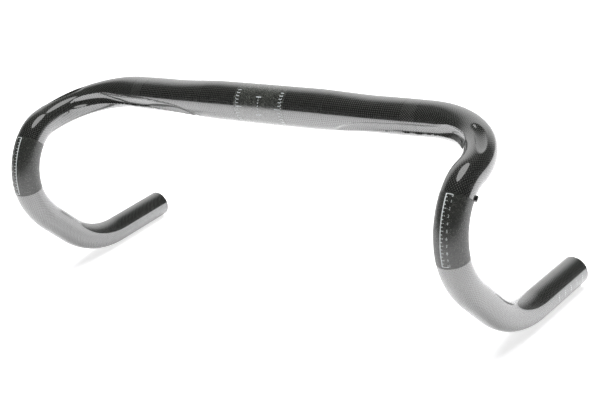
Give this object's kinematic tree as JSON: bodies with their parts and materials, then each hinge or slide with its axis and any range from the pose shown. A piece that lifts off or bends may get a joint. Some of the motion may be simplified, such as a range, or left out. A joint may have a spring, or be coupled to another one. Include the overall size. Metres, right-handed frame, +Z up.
{
  "type": "drop handlebar",
  "caption": "Road bicycle drop handlebar: flattened tops with cable channels, thick stem clamp, curved hooks with gritted lever zones and level bar ends.",
  "frame": {"origin": "centre of the stem clamp", "axes": "+X to the rider's right along the clamp, +Y forward, +Z up with the bar ends level"},
  "size_m": [0.4596, 0.1753, 0.1712],
  "materials": {
    "carbon_clear_coat": "woven carbon under a gloss clear coat",
    "seam_ply": "one woven ply wound round the seam, clear coated",
    "inner_laminate": "bare laminate, not coated",
    "grip_coat": "fine grit bound in satin lacquer",
    "printed_film": "pale graduations printed on a clear film"
  },
  "bodies": {
    "root": {"centre_section": "carbon_clear_coat", "right_drop": "carbon_clear_coat", "left_drop": "carbon_clear_coat", "right_seam_wrap": "seam_ply", "left_seam_wrap": "seam_ply", "right_joint_sleeve": "inner_laminate", "left_joint_sleeve": "inner_laminate", "clamp_reinforcement": "inner_laminate", "right_lever_reinforcement": "inner_laminate", "left_lever_reinforcement": "inner_laminate", "clamp_grip_band": "grip_coat", "right_lever_grip_band": "grip_coat", "left_lever_grip_band": "grip_coat", "right_clamp_scale": "printed_film", "left_clamp_scale": "printed_film", "centre_mark": "printed_film", "right_lever_scale": "printed_film", "left_lever_scale": "printed_film", "right_trim_scale": "printed_film", "left_trim_scale": "printed_film"}
  },
  "joints": []
}
